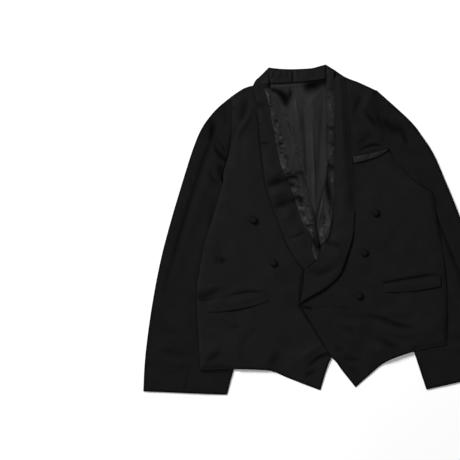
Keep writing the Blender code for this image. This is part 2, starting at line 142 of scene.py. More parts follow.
# Pieces in the order they lie. Step is the spacing of the fine points and smooth the
# radius over which the solid's facets are rounded away. Joins are the pieces already
# laid that this one is sewn to. Flat is the width and length of its cut, in metres,
# and area the cut's own area in square metres.
CLOTHS = [
    Cloth("sleeve_right_under", 8.0, 1.3, 9, "wool", (), (0.218, 0.697), 0.108),
    Cloth("sleeve_left_under", 8.0, 1.3, 9, "wool", (), (0.191, 0.700), 0.092),
    Cloth("collar_fall", 6.0, 1.3, 7, "wool", (), (0.062, 0.208), 0.0099),
    Cloth("sleeve_right_top", 3.0, 1.3, 8, "wool", (), (0.225, 0.702), 0.114),
    Cloth("sleeve_left_top", 3.0, 1.3, 8, "wool", (), (0.198, 0.707), 0.098),
    Cloth("back", 7.0, 1.4, 9, "wool", (), (0.576, 0.644), 0.300),
    Cloth("lining_back", 2.2, 0.7, 6, "satin", (), (0.130, 0.384), 0.037),
    Cloth("front_right", 3.0, 1.5, 8, "wool", ("sleeve_right_top",), (0.373, 0.670), 0.160),
    Cloth("lining_right", 1.8, 0.6, 4, "satin", ("lining_back",), (0.047, 0.416), 0.0134),
    Cloth("shawl_right", 2.6, 1.5, 6, "facing", ("lining_right",), (0.109, 0.583), 0.0258),
    Cloth("stand_right", 2.2, 1.3, 5, "facing", ("shawl_right",), (0.039, 0.054), 0.0020),
    Cloth("stand_left", 2.2, 1.3, 5, "facing", ("stand_right",), (0.035, 0.080), 0.0025),
    Cloth("front_left", 3.0, 1.5, 8, "wool", ("sleeve_left_top",), (0.336, 0.717), 0.153),
    Cloth("lining_left", 1.8, 0.6, 4, "satin", (), (0.039, 0.421), 0.0100),
    Cloth("shawl_left", 2.6, 1.5, 6, "facing", ("lining_left",), (0.101, 0.546), 0.0240),
    Cloth("breast_welt", 1.6, 1.0, 3, "satin", (), (0.018, 0.090), 0.0013),
    Cloth("hip_welt_right", 2.2, 1.2, 3, "wool", (), (0.035, 0.143), 0.0046),
    Cloth("hip_welt_left", 2.2, 1.2, 3, "wool", (), (0.030, 0.137), 0.0036),
]
NUMBERS = {cloth.node: number for number, cloth in enumerate(CLOTHS)}

# Creases: the spacing of points along one, how many widths off it still counts, the
# share of its length in which an end dies away, and how sharply its sides fall
CREASE_SPACING = 4.0
CREASE_REACH = 2.6
FADE_SHARE = 0.45
SATIN_SHARPNESS = 1.4
CLOTH_SHARPNESS = 2.0

Crease = namedtuple("Crease", "width height points dark fade lean", defaults=(0.0, "both", 0.0))

# The creases of each piece, with Crease's columns. Width is half the width across,
# height is below nought for a trough, dark is the painted shade, the share of light that
# the bottom of a deep fold loses from its colour, and below nought a painted highlight
# where one gleams, fade names the ends that die away, and lean makes the left side the
# gentler one. A row may leave out the last three.
CREASES = {
    "sleeve_right_top": [
        # long pressed valley with a ridge each side of it
        (6, -2.6, [(-199, 140), (-196, 114), (-202, 88), (-216, 50), (-250, -52),
         (-314, -275)], 0.28, "end", 0.3),
        (13, 1.8, [(-180, 100), (-188, 50), (-228, -50), (-296, -270)]),
        (11, 1.3, [(-218, 118), (-234, 60), (-270, -45), (-330, -290)]),
        (8, -2.4, [(-198, 144), (-196, 122), (-203, 92)], 0.68),
        (4, -0.6, [(-218, -437), (-186, -437), (-152, -436)], 0.5, "none"),
        # puckers that run into the armhole
        (4, -2, [(-190, 104), (-180, 90), (-166, 72)], 0.2, "start", 0.3),
        (5.5, -3.2, [(-192, 92), (-183, 66), (-163, 48)], 0.5, "start", 0.3),
        (6, 2.2, [(-186, 86), (-176, 72), (-160, 60)], 0, "start"),
        (5.5, 2, [(-196, 60), (-184, 46), (-170, 38)], 0, "start"),
        (6.5, -2.6, [(-181, 38), (-176, 24), (-171, 8)], 0.45, "start", 0.2),
        (5, -2, [(-204, 36), (-198, 10), (-180, -12)], 0.3, "both", 0.2),
        (7, 1.8, [(-190, 28), (-186, 8), (-176, -2)]),
        (7, -1.8, [(-166, 176), (-163, 156), (-161, 136)], 0.15, "start"),
        (6, -1.2, [(-186, -30), (-196, -70), (-204, -110)], 0.1),
        # soft folds above the cuff, and the sleeve vent
        (9, -2.4, [(-322, -378), (-286, -396), (-246, -402)], 0.2, "both", -0.2),
        (9, 2, [(-318, -402), (-284, -416), (-250, -420)]),
        (6, -1.8, [(-308, -436), (-295, -441), (-280, -438)], 0.1),
        (7, -1.5, [(-330, -330), (-300, -346), (-270, -350)], 0.1),
        (1.8, -1.5, [(-244, -420), (-253, -448), (-262, -484)], 0.2, "start", 0.4),
    ],
    "sleeve_left_top": [
        # the same folds, turned and uneven
        (8, -3.2, [(200, 138), (214, 126), (246, 117)], 0.5, "end", 0.3),
        (14, -1.2, [(202, 132), (220, 118), (252, 124)], 0.3, "end"),
        (6, -2.8, [(240, 124), (246, 104), (256, 80)], 0.4, "both", 0.3),
        (9, 2, [(222, 106), (232, 88), (240, 66)]),
        (8, 2.2, [(212, 148), (234, 142), (258, 124)]),
        (4.5, -2.4, [(262, 60), (312, -60), (366, -190), (420, -330)], 0.3, "both", -0.3),
        (13, 1.8, [(250, 50), (296, -60), (348, -190), (402, -330)]),
        (9, -2.2, [(344, -352), (386, -362), (430, -346)], 0.2),
        (8, 1.8, [(350, -374), (388, -384), (426, -370)]),
        (6, -1.8, [(270, -10), (280, -60), (300, -110)], 0.1),
        (1.8, -1.5, [(396, -384), (398, -410), (402, -456)], 0.2, "start", 0.4),
    ],
    "front_right": [
        # drape from the shoulder
        (9, -3.4, [(-117, 196), (-118, 172), (-125, 152), (-136, 130)], 0.45, "both", -0.3),
        (7, -2.2, [(-134, 134), (-146, 108), (-152, 84)], 0.15, "both", -0.3),
        (7, 2.8, [(-103, 178), (-113, 150), (-129, 124), (-144, 98), (-153, 66)]),
        (5, -1.6, [(-151, 172), (-143, 168), (-135, 166)], 0.25),
        (9, 1.6, [(-140, 190), (-146, 170), (-150, 150)]),
        (14, 1.8, [(-112, 108), (-118, 40), (-108, -30)]),
        # dart dimple, pocket slump and folds at the hem
        (9, -2.6, [(-194, -178), (-177, -182), (-160, -184)], 0.35),
        (4.5, -1.4, [(-178, -174), (-172, -182), (-168, -188)], 0.45),
        (4, -0.8, [(-181, -140), (-186, -156), (-190, -176)], 0.05),
        (4, -0.8, [(-181, -140), (-175, -156), (-171, -172)], 0.05),
        (9, -2.8, [(-226, -264), (-208, -261), (-178, -252)], 0.5, "end", 0.2),
        (3.5, -1.6, [(-226, -272), (-208, -272), (-186, -268)], 0.4, "end", 0.2),
        (3, -0.7, [(-50, -198), (-46, -214), (-43, -232)], 0.08),
        (3, -0.7, [(-42, -196), (-34, -212), (-26, -230)], 0.08),
        (6, 1.8, [(-206, -244), (-186, -240), (-164, -240)]),
        (8, -2.3, [(-170, -388), (-190, -402), (-214, -418)], 0.28, "both", 0.3),
        (9, 1.7, [(-178, -372), (-198, -386), (-218, -400)]),
        (8, -1.1, [(-96, -332), (-112, -356), (-128, -384), (-126, -416)], 0.08),
        (8, -1.1, [(-142, -408), (-124, -414), (-98, -420)], 0.1, "both", 0.2),
        (4, -1, [(-96, -334), (-101, -346), (-104, -358)], 0.1),
        (13, -1.8, [(-44, -388), (-50, -408), (-58, -430)], 0.22, "both", 0.2),
        (9, 1.4, [(-64, -396), (-70, -412), (-78, -426)]),
        (6.5, -3.2, [(80, -390), (54, -402), (18, -428)], 0.45, "end", 0.3),
        (8, 2.4, [(60, -376), (30, -390), (0, -414)]),
        (6, -2, [(48, -432), (30, -442), (12, -450)], 0.3),
        (4, -1.2, [(-154, -340), (-142, -334), (-130, -333)], 0.15),
        (6, -1, [(-210, -330), (-196, -334), (-180, -332)], 0.05),
        # mouth of the hip pocket above its welt
        (2, -1.6, [(-176, -268), (-132, -256), (-102, -252), (-72, -253)], 0.5, "both", 0.3),
        (5, 1, [(-160, -252), (-126, -244), (-92, -241)]),
        # shade along the edges of the left front and lapel that lap over it
        (4, -0.8, [(4, -284), (44, -344), (82, -404)], 0.6, "none"),
        (2.4, -0.4, [(8, -214), (5, -244), (4, -282)], 0.3, "none"),
    ],
    "front_left": [
        # drape from the shoulder, above the breast welt
        (9, -2.6, [(148, 202), (138, 178), (130, 150)], 0.2, "both", 0.4),
        (9, 2.2, [(164, 198), (158, 180), (146, 160)]),
        (12, -1.2, [(174, 176), (186, 148), (198, 114)], 0.2),
        (5.5, -3, [(152, 164), (172, 142), (190, 118)], 0.4, "both", 0.2),
        (7, 2.8, [(164, 166), (184, 142), (200, 112)]),
        (8, -2.8, [(184, 152), (194, 134), (204, 116)], 0.35, "start", 0.2),
        (9, -2.2, [(138, 78), (156, 98), (175, 116)], 0.3),
        (9, 2, [(130, 134), (138, 118), (146, 106)]),
        (3.2, -2.4, [(137, 67), (150, 75), (161, 80), (178, 84), (202, 81)], 0.75, "both", 0.4),
        (3, 1.4, [(150, 69), (164, 75), (184, 78), (200, 76)]),
        (5, -2.2, [(203, 78), (214, 71), (222, 60)], 0.55),
        (3, -1, [(212, 60), (222, 46), (232, 36)], 0.1),
        # folds below the hip welt and at the point
        (6.5, -3.2, [(160, -306), (206, -317), (238, -330), (280, -335)], 0.45, "both", -0.3),
        (10, 2.8, [(180, -332), (212, -340), (244, -350), (276, -352)]),
        (7, 1.8, [(196, -294), (226, -300), (262, -308)]),
        (9, -2.8, [(176, -358), (210, -372), (244, -388)], 0.35, "both", -0.3),
        (8, 1.8, [(184, -374), (206, -388), (232, -398)]),
        (9, -1.8, [(100, -306), (140, -311), (182, -310)], 0.2),
        (6, -1.6, [(104, -336), (122, -346), (142, -356)], 0.15),
        (8, 1.6, [(92, -322), (118, -328), (150, -332)]),
        (3, -0.9, [(70, -287), (104, -291), (142, -289)], 0.1),
        (6, -2, [(84, -372), (94, -384), (108, -394)], 0.2),
        (6, -2, [(104, -402), (126, -410), (150, -412)], 0.25),
        (7, -1.6, [(120, -424), (134, -440), (140, -456)], 0.15),
        (12, -1.4, [(180, 10), (196, -26), (206, -58)], 0.05),
        (12, -1.2, [(224, -106), (216, -140), (198, -170)], 0.05),
        # mouth of the hip pocket above its welt, and the buttonhole
        (3, -2, [(200, -233), (235, -226), (264, -221), (330, -211)], 0.55, "end", 0.3),
        (1.5, -0.8, [(14, -288), (31, -291)], 0.95, "none"),
        (4, -0.4, [(12, -287), (30, -290)], 0.65, "none"),
        (3, -0.7, [(36, -291), (56, -289), (78, -286)], 0.1),
    ],
    "shawl_right": [
        # dents across it
        (9, -3.8, [(-74, -12), (-44, 0), (-8, 12)], 0.75, "start", 0.2),
        (9, 2.4, [(-62, 16), (-40, 22), (-14, 32)], 0, "start"),
        (8, 2.2, [(-66, -34), (-38, -24), (-12, -14)], 0, "start"),
        (9, -3.4, [(-56, -62), (-28, -50), (4, -34)], 0.65, "start", 0.2),
        (9, 1.8, [(-44, -88), (-22, -78), (6, -64)], 0, "start"),
        (2.6, -1.6, [(-26, -131), (0, -125), (24, -114)], 0.4, "both", 0.3),
        (7, 1.2, [(-20, -118), (2, -112), (24, -102)]),
        (9, -2.4, [(-98, 178), (-84, 174), (-68, 174)], 0.4),
        (4, -1.8, [(-88, 90), (-77, 87), (-62, 88)], 0.4),
        (4, -1, [(-92, 132), (-84, 130), (-76, 132)], 0.1),
        (6, 3, [(-84, 224), (-76, 226), (-66, 229)]),
        (6, 2, [(-74, 236), (-68, 230), (-64, 222)]),
        (2.2, -1.6, [(-84, 214), (-74, 214), (-64, 215)], 0.5),
    ],
    "shawl_left": [
        # dents where it rolls over the right one, and its lifted lower edge
        (10, -2.8, [(18, -198), (44, -210), (72, -204), (98, -186)], 0.45, "both", 0.2),
        (7, -2.4, [(104, -149), (84, -143), (67, -137)], 0.5, "start"),
        (6, -1.6, [(24, -186), (40, -182), (58, -186)], 0.25),
        (9, 1.8, [(60, -166), (84, -172), (104, -164)]),
        (16, 2.6, [(112, -150), (94, -196), (58, -236), (8, -280)]),
    ],
    "stand_right": [
        # puff at its outer corner, the centre-back seam and small pulls beside it
        (5, 1.6, [(-64, 233), (-58, 231), (-52, 230)]),
        (1.6, -0.4, [(-12.5, 262), (-12.5, 245), (-12.5, 226)], 0.15, "none"),
        (3, -1.2, [(-24, 258), (-23, 248), (-24, 236)], 0.25),
        (3, -1.2, [(-36, 256), (-35, 246), (-36, 236)], 0.25),
        (3, -1.2, [(-54, 256), (-55, 246), (-58, 238)], 0.4),
        (2.5, 1, [(-46, 258), (-45, 246), (-46, 234)]),
    ],
    "stand_left": [
        # fullness beside the centre-back seam, and small pulls
        (3, 0.8, [(-7, 262), (-7, 245), (-7, 226)], 0, "none"),
        (2.5, -1, [(2, 256), (3, 246), (2, 236)], 0.2),
        (7, -1, [(20, 250), (30, 246), (48, 252)], 0.15),
    ],
    "lining_back": [
        # hollows under the collar with painted shade, and long ridges and troughs down the middle with
        # painted highlights and shade
        (1.8, -1.4, [(-60, 224), (-20, 226), (20, 229), (68, 236)], 0.5, "none"),
        (3, 1.8, [(-52, 219), (-22, 221), (8, 223)], -0.2),
        (12, 3.2, [(-62, 214), (-39, 168), (-16, 122), (1, 68), (15, 21), (30, -34)], 0, "end", 0.6),
        (7, -2, [(-56, 212), (-42, 206), (-31, 194), (-20, 168)], 0.9, "end"),
        (10, -2, [(-46, 210), (-28, 196), (-20, 176)], 0.84),
        (5, -1.2, [(-17, 217), (-16, 203), (-21, 188)], 0.85),
        (13, -2.2, [(10, 212), (28, 222), (48, 228), (68, 233)], 0.92, "start"),
        (10, -1.4, [(12, 214), (32, 222), (54, 222)], 0.85),
        (5, 1.2, [(68, 222), (50, 204), (34, 188), (27, 166)]),
        (4, 2.2, [(-54, 204), (-44, 190), (-28, 174), (-22, 160)]),
        (3.4, 2.6, [(-4, 196), (-3, 170), (2, 142), (4, 116)], -0.12, "both", 0.3),
        (9, 1.6, [(36, 184), (36, 164), (36, 130)]),
        (3.4, 3, [(34, 150), (36, 90), (38, 40), (40, -20), (40, -70)], -0.18, "both", -0.3),
        (4, -1.6, [(13, 200), (13, 160), (16, 110), (20, 40), (26, -30)], 0.28),
        (4, -1.2, [(58, 190), (54, 130), (50, 60), (48, 0)], 0.3),
        (3, 1.6, [(-14, 170), (-12, 110), (0, 40), (12, -10)], 0, "both", 0.3),
        (2.6, 1.6, [(22, 60), (26, 0), (32, -50), (38, -84)]),
        (1.8, -1.4, [(-4, 76), (0, 76), (5, 75)], 0.6, "both", 0.2),
        (2.2, -1.6, [(-20, 64), (-10, 66), (4, 62)], 0.5, "both", 0.2),
        (2.2, 1.6, [(-16, 70), (-6, 71), (8, 69)], 0, "both", 0.2),
        (2, -1, [(-8, 58), (4, 58), (12, 62)], 0.3, "both", 0.2),
    ],
    "lining_right": [
        # folds lower down
        (6.5, -2.6, [(-27, 6), (-16, 11), (-5, 12)], 0.92, "none"),
        (5.5, -2.2, [(-22, 0), (-12, -7), (-2, -5)], 0.9),
        (4.5, -2, [(-8, 19), (3, 22), (15, 17)], 0.75),
        (3.5, -1.6, [(2, 20), (2, 8), (6, -4)], 0.4),
        (4.6, 3, [(-22, -16), (-10, -22), (4, -18)], -0.6),
        (3, -1.6, [(-4, -8), (4, -12), (10, -10)], 0.5),
        (6.5, -2.4, [(-6, -38), (3, -36), (9, -44)], 0.88, "none"),
        (5, 2.6, [(0, -58), (10, -64), (20, -56)], -0.35),
        (4, -2, [(2, -70), (12, -72), (20, -80)], 0.55),
        (5, 2.4, [(10, -84), (22, -92), (34, -90)], -0.3),
        (3.5, -2, [(14, -98), (24, -101), (34, -96)], 0.5),
        (4, 2.2, [(26, -108), (34, -116), (40, -124)], -0.35),
        (8, -2.6, [(36, -134), (42, -143), (47, -152)], 0.86, "none"),
        (6, 3, [(33, -162), (36, -170), (40, -176)], -1.1, "none"),
        (6, 2, [(-74, 208), (-69, 194), (-64, 176)], -0.6),
        (4, -1.8, [(-64, 118), (-56, 112), (-46, 116)], 0.45),
        (6, 1.8, [(-54, 96), (-48, 82), (-40, 70)], -0.3),
        (6, 1.8, [(-44, 48), (-36, 36), (-28, 26)], -0.35),
    ],
    "lining_left": [
        # dents, puffs and the tail at the bottom of the neck opening
        (5, -2.2, [(66, 129), (70, 126), (78, 122)], 0.65, "none"),
        (5, 1.6, [(68, 112), (76, 110), (84, 114)]),
        (5, -1.8, [(75, 91), (80, 88), (84, 85)], 0.45, "none"),
        (5, 2.2, [(70, 66), (78, 62), (86, 66)]),
        (6, -2.4, [(64, 46), (70, 40), (82, 33)], 0.75, "none"),
        (4, 2.4, [(81, 18), (82, 2), (82, -12)], -0.2),
        (8, -2.4, [(66, 40), (66, 12), (71, -26), (77, -50), (83, -70)], 0.92, "end", 0.2),
        (3, 2.4, [(60, -30), (56, -60), (50, -84), (46, -104)]),
        (5, 2.6, [(66, -56), (74, -84), (72, -104), (62, -122)], -0.5),
        (3, -1.6, [(62, -70), (62, -88), (58, -106)], 0.45),
        (4, 1.8, [(52, -118), (62, -134), (60, -146)], -0.4),
        # shaded where the collar's end covers it
        (16, 0.4, [(76, 262), (76, 236), (76, 196)], 0.5, "end"),
    ],
    "breast_welt": [
        # a fold across it, with slack each side
        (1.5, -1, [(163, 48), (164, 58), (166, 70)], 0.6, "none", 0.3),
        (4, 1.2, [(134, 52), (146, 55), (160, 58)]),
        (4, 1.2, [(170, 62), (182, 65), (196, 70)]),
        (3, -0.8, [(186, 60), (192, 66), (200, 72)], 0.3),
    ],
    "hip_welt_right": [(7, 1.2, [(-196, -287), (-140, -276), (-80, -262)])],
    "hip_welt_left": [(7, 1.2, [(208, -245), (260, -238), (320, -226)])],
}

Crinkle = namedtuple("Crinkle", "node count length width height turn spread seed points")

# How crinkles vary: their place in their share of the row, the degrees that they turn
# either way, how far they stray, how far they bow, and which way they go, up or down
CRINKLE_STEP = 1.0
CRINKLE_PLACES = (0.1, 0.9)
CRINKLE_TURN = 35
CRINKLE_STRAY = 2
CRINKLE_BOW = 0.35
CRINKLE_WAYS = (1, 1, -1)
# painted shade in a crinkle's trough and painted highlight on its ridge
CRINKLE_PAINTED_SHADE = 0.45
CRINKLE_GLEAM = -0.3

# Rows of small crinkles where satin is eased onto a seam. Turn is their angle to the
# row and spread how far they stray across it. Their troughs get painted shade and their
# ridges a painted highlight, as creases do.
CRINKLES = [
    Crinkle("lining_right", 22, (12, 26), (3.0, 5.0), (1.6, 3.0), 62, 9, 3,
            [(-68, 200), (-49, 120), (-31, 40), (-18, 8)]),
    Crinkle("lining_right", 34, (6, 14), (1.6, 2.6), (0.8, 1.6), 110, 9, 8,
            [(-69, 200), (-48, 120), (-31, 50), (-17, 10)]),
    Crinkle("lining_right", 26, (9, 22), (2.4, 4.4), (1.2, 2.2), 58, 11, 5,
            [(2, -26), (15, -60), (29, -92), (40, -120)]),
    Crinkle("lining_left", 18, (7, 15), (2.2, 3.8), (1.0, 2.0), 80, 6, 11,
            [(78, 220), (78, 120), (78, 20), (72, -60)]),
    Crinkle("lining_left", 14, (7, 16), (1.8, 3.0), (1.0, 1.9), 35, 6, 23,
            [(72, -50), (70, -80), (62, -110), (58, -140)]),
    Crinkle("lining_back", 14, (12, 30), (1.8, 3.0), (0.5, 1.0), 15, 9, 17,
            [(-36, 170), (-14, 100), (2, 50), (18, -10)]),
]

Stretch = namedtuple("Stretch", "node reach points")

# How many reaches off a stretch still counts, and how steeply it comes to its full share
STRETCH_REACHES = 3
STRETCH_GAIN = 1.5

# Stretches of an edge that stand off what lies under them
LIFTED = [
    Stretch("shawl_left", 26.0, [(124, -120), (110, -180), (74, -226), (4, -284)]),
    Stretch("front_right", 12.0, [(-224, -432), (-186, -432), (-150, -431)]),
]

# Stretches of an edge that are pressed so flat that they hardly show
PRESSED = [
    Stretch("shawl_left", 8.0, [(106, 244), (114, 189), (123, 74), (130, 9), (132, -37), (131, -60)]),
    Stretch("hip_welt_right", 12.0, [(-208, -288), (-206, -276), (-186, -266)]),
    Stretch("hip_welt_right", 6.0, [(-71, -252), (-68, -262), (-66, -272)]),
    Stretch("hip_welt_left", 7.0, [(199, -252), (199, -237)]),
    Stretch("lining_left", 6.0, [(66, 237), (68, 120), (67, 30)]),
    Stretch("lining_right", 10.0, [(-64, 216), (-17, 120), (12, 24)]),
    Stretch("lining_back", 10.0, [(-64, 225), (-40, 120), (-8, 19), (20, -92), (20, -150)]),
]

# Painted light and shade: the share of the light that whole pieces get in their colour, where they lie
# lower or further from it
PAINTED_PIECE_LIGHT = {
    "sleeve_right_top": 0.81, "sleeve_left_top": 0.8, "front_left": 0.88,
    "shawl_left": 0.87, "stand_left": 1.1, "stand_right": 1.04,
    "hip_welt_left": 0.88, "lining_left": 0.8, "breast_welt": 0.78,
}

# The breast welt tapers to its end under the sleeve, inside its solid's outline
OUTLINES = {
    "breast_welt": [
        (128, 42.5), (150, 47), (171, 53), (190, 60), (201, 67), (210.5, 73.5),
        (210, 77), (200, 75), (188, 72), (167, 66.5), (147, 63), (127, 59.5),
    ],
}

BUTTON_NODES = ["button_1", "button_2", "button_3", "button_4", "button_5"]

# Dimple that a button's thread pulls into the cloth
DIMPLE_WIDTH = 13.0
DIMPLE_HEIGHT = -1.0
DIMPLE_HALF_LENGTH = 2

# Covered button: radius and height of its rings above the shank, from the top of the dome
# to the shank's foot, and the painted shade beyond its rim's radius, as the share of light it keeps
BUTTON_SEGMENTS = 56
BUTTON_PROFILE = [
    (1.8, 4.1), (3.6, 3.9), (5.2, 3.52), (6.5, 3.02), (7.5, 2.4), (8.2, 1.75), (8.6, 1.2),
    (8.72, 0.8), (8.55, 0.4), (8.0, 0.15), (6.6, 0.1), (3.0, 0.0), (2.4, -0.5), (2.3, -1.4),
]
BUTTON_SHANK_HEIGHT = 1.4
BUTTON_RIM = 7.0
BUTTON_RIM_LIGHT = 0.45

# Worked edge of the buttonhole: its ends, half width and stitches round it, and the
# thread's radius, its place above the cloth and how much thinner it is between stitches
BUTTONHOLE_ENDS = ((13.5, -287.8), (31.0, -290.8))
BUTTONHOLE_HALF_WIDTH = 1.7
BUTTONHOLE_STITCHES = 64
BUTTONHOLE_ARC_STEPS = 8
THREAD_RADIUS = 0.62
THREAD_LIFT = 0.15
THREAD_WAIST = 0.14
THREAD_SIDES = 8
RINGS_A_STITCH = 4

# Where a material's blend of two colours starts and ends, the distance between a wave
# texture's bands at a scale of one, how far they stray and how finely, and the nap
BLEND = (0.35, 0.65)
BAND_DISTANCE = 0.314
BAND_STRAY = 0.6
BAND_DETAIL = 1.0
SHEEN_ROUGHNESS = 0.3

# Distance and depth are metres, and turn is degrees
Noise = namedtuple("Noise", "scale detail depth strength stretch", defaults=(0, 0, (1, 1, 1)))
Rib = namedtuple("Rib", "distance turn depth strength")
Finish = namedtuple(
    "Finish",
    "name dark light patches bumps roughness specular sheen hollow_roughness shaded",
    defaults=(0.0, None, True),
)

# Finishes. Dark and light are linear colours, blended in patches, and bumps lie one over
# the other. Shaded finishes darken their colour by each mesh's painted shade. Hollow
# roughness is for the places that less light reaches.
FINISHES = {
    # matt black barathea: a fine diagonal rib under a short nap
    "wool": Finish(
        "black_wool_cloth", (0.0081, 0.0080, 0.0081), (0.0092, 0.0091, 0.0093), Noise(34, 4),
        [Noise(38, 2, 0.0015, 0.22), Rib(0.0013, 52, 0.0002, 0.35), Noise(900, 4, 0.00025, 0.45)],
        roughness=0.75, specular=0.025, sheen=0.014,
    ),
    # dull ribbed silk of the collar, a little smoother than the wool
    "facing": Finish(
        "black_facing_cloth", (0.0082, 0.0081, 0.0082), (0.0092, 0.0091, 0.0093), Noise(26, 3),
        [Noise(34, 2, 0.0015, 0.2), Rib(0.0011, 0, 0.00015, 0.3), Noise(700, 3, 0.0002, 0.35)],
        roughness=0.65, specular=0.03, sheen=0.012,
    ),
    # shiny grey-green satin with fine creases along the cloth
    "satin": Finish(
        "lining_satin", (0.0132, 0.0137, 0.0133), (0.0178, 0.0188, 0.0182),
        Noise(22, 3, stretch=(1, 0.4, 1)),
        [Noise(80, 3, 0.0014, 0.4, (1, 0.35, 1)), Noise(420, 2, 0.0002, 0.25, (1, 0.15, 1))],
        roughness=0.42, specular=0.05, hollow_roughness=0.9,
    ),
    # cloth pulled tight over a button
    "cover": Finish(
        "button_cover", (0.0048, 0.0047, 0.0050), (0.0064, 0.0063, 0.0067), Noise(120, 3),
        [Rib(0.0012, 45, 0.00015, 0.4)], roughness=0.7, specular=0.035,
    ),
    # twisted silk round the buttonhole
    "thread": Finish(
        "buttonhole_thread", (0.0020, 0.0020, 0.0021), (0.0040, 0.0039, 0.0042), Noise(400, 2),
        [Rib(0.0008, 30, 0.0001, 0.5)], roughness=0.5, specular=0.12, shaded=False,
    ),
}
GROUND_FINISH = Finish(
    "pale_ground", (0.970225,) * 3, (0.985,) * 3, Noise(3, 2),
    [Noise(200, 2, 0.0001, 0.05)], roughness=0.9, specular=0.2, shaded=False,
)

# Camera, ground and lights, in metres, millimetres for the sensor, and watts
CAMERA_HEIGHT = 5.0
SENSOR = 36.0
GROUND_HALF_SIDE = 6.0
GROUND_DROP = 0.0002
WORLD_STRENGTH = 0.22

Light = namedtuple("Light", "name place aim width power")

LIGHTS = [
    Light("key", (-4.2, 3.8, 4.6), (0.0, -0.1, 0.0), 2.4, 640.0),
    Light("top", (0.3, -0.2, 4.4), (0.0, -0.1, 0.0), 1.6, 34.0),
]


def run_along(line):
    """Returns how far along a line each of its points is."""
    return np.concatenate([[0], np.cumsum(np.linalg.norm(np.diff(line, axis=0), axis=1))])


def closed(loop):
    """Returns a loop of points with its first one again at the end."""
    return np.vstack([loop, loop[:1]])


def outward_from(loop):
    """Returns the direction straight out of an anticlockwise loop at each of its points."""
    along = np.roll(loop, -1, axis=0) - np.roll(loop, 1, axis=0)
    return np.column_stack([along[:, 1], -along[:, 0]]) / np.linalg.norm(along, axis=1)[:, None]


def angles_round(count):
    """Returns a number of even angles round a circle."""
    return [2 * math.pi * k / count for k in range(count)]


def catmull(points, spacing):
    """Returns even points along a Catmull-Rom curve through points of two or three coordinates."""
    given = np.array(points, dtype=float)
    if len(given) == 2:
        dense = np.linspace(given[0], given[1], SAMPLES)
    else:
        ends = np.vstack([2 * given[0] - given[1], given, 2 * given[-1] - given[-2]])
        share = np.linspace(0, 1, SAMPLES)[1:, None]
        dense = [given[:1]]
        for before, start, end, after in zip(ends, ends[1:], ends[2:], ends[3:]):
            bend = 2 * before - 5 * start + 4 * end - after
            twist = -before + 3 * start - 3 * end + after
            dense.append(0.5 * (2 * start + (end - before) * share + bend * share**2 + twist * share**3))
        dense = np.vstack(dense)
    run = run_along(dense[:, :2])
    places = np.linspace(0, run[-1], max(2, math.ceil(run[-1] / spacing) + 1))
    return np.column_stack([np.interp(places, run, dense[:, i]) for i in range(dense.shape[1])])


def fine_outline(points):
    """Returns a closed loop of points as a fine smooth curve that keeps its sharp corners."""
    sides = list(zip(np.array(points, dtype=float), np.roll(points, -1, axis=0)))
    counts = [math.ceil(math.dist(start, end) / LONGEST_SIDE) for start, end in sides]
    points = np.vstack([np.linspace(*side, count, endpoint=False) for side, count in zip(sides, counts)])
    along = np.roll(points, -1, axis=0) - points
    heading = np.arctan2(along[:, 1], along[:, 0])
    turn = np.abs((heading - np.roll(heading, 1) + math.pi) % (2 * math.pi) - math.pi)
    corners = np.flatnonzero(turn > CORNER_TURN)
    runs = []
    for start, end in zip(corners, np.append(corners[1:], corners[0] + len(points))):
        stretch = points[np.arange(start, end + 1) % len(points)]
        runs.append(catmull(stretch, EDGE_SPACING)[:-1])
    return np.vstack(runs)


def inside(places, outline):
    """Tells which places lie inside an outline."""
    order = np.argsort(places[:, 1])
    x, y = places[order].T
    found = np.zeros(len(places), dtype=bool)
    for start, end in zip(outline, np.roll(outline, -1, axis=0)):
        if start[1] == end[1]:
            continue
        rows = slice(*np.searchsorted(y, sorted((start[1], end[1]))))
        crossing = start[0] + (y[rows] - start[1]) * (end[0] - start[0]) / (end[1] - start[1])
        found[rows] ^= x[rows] < crossing
    result = np.empty(len(places), dtype=bool)
    result[order] = found
    return result


def nearest_on(places, line, reach=EDGE_REACH):
    """Returns each place's distance to a line, how far along the line that is, and its side.

    Places further off than the reach keep an endless distance.
    """
    order = np.argsort(places[:, 0])
    near = places[order]
    run = run_along(line)
    nearest = np.full(len(near), np.inf)
    along = np.zeros(len(near))
    left = np.zeros(len(near), dtype=bool)
    for i, (start, end) in enumerate(zip(line, line[1:])):
        low, high = sorted((start[0], end[0]))
        some = slice(*np.searchsorted(near[:, 0], (low - reach, high + reach)))
        side = end - start
        across = near[some] - start
        part = np.clip(across @ side / max(side @ side, TINY), 0, 1)
        away = np.hypot(across[:, 0] - part * side[0], across[:, 1] - part * side[1])
        closer = np.flatnonzero((away < nearest[some]) & (away <= reach))
        at = closer + some.start
        nearest[at] = away[closer]
        along[at] = run[i] + part[closer] * (run[i + 1] - run[i])
        left[at] = (side[0] * across[closer, 1] - side[1] * across[closer, 0]) > 0
    result = np.empty_like(nearest), np.empty_like(along), np.empty_like(left)
    for given, found in zip(result, (nearest, along, left)):
        given[order] = found
    return result


def smooth_round(values, steps):
    """Returns values round a loop, each the mean of its neighbours up to some steps away."""
    return np.mean([np.roll(values, shift) for shift in range(-steps, steps + 1)], axis=0)


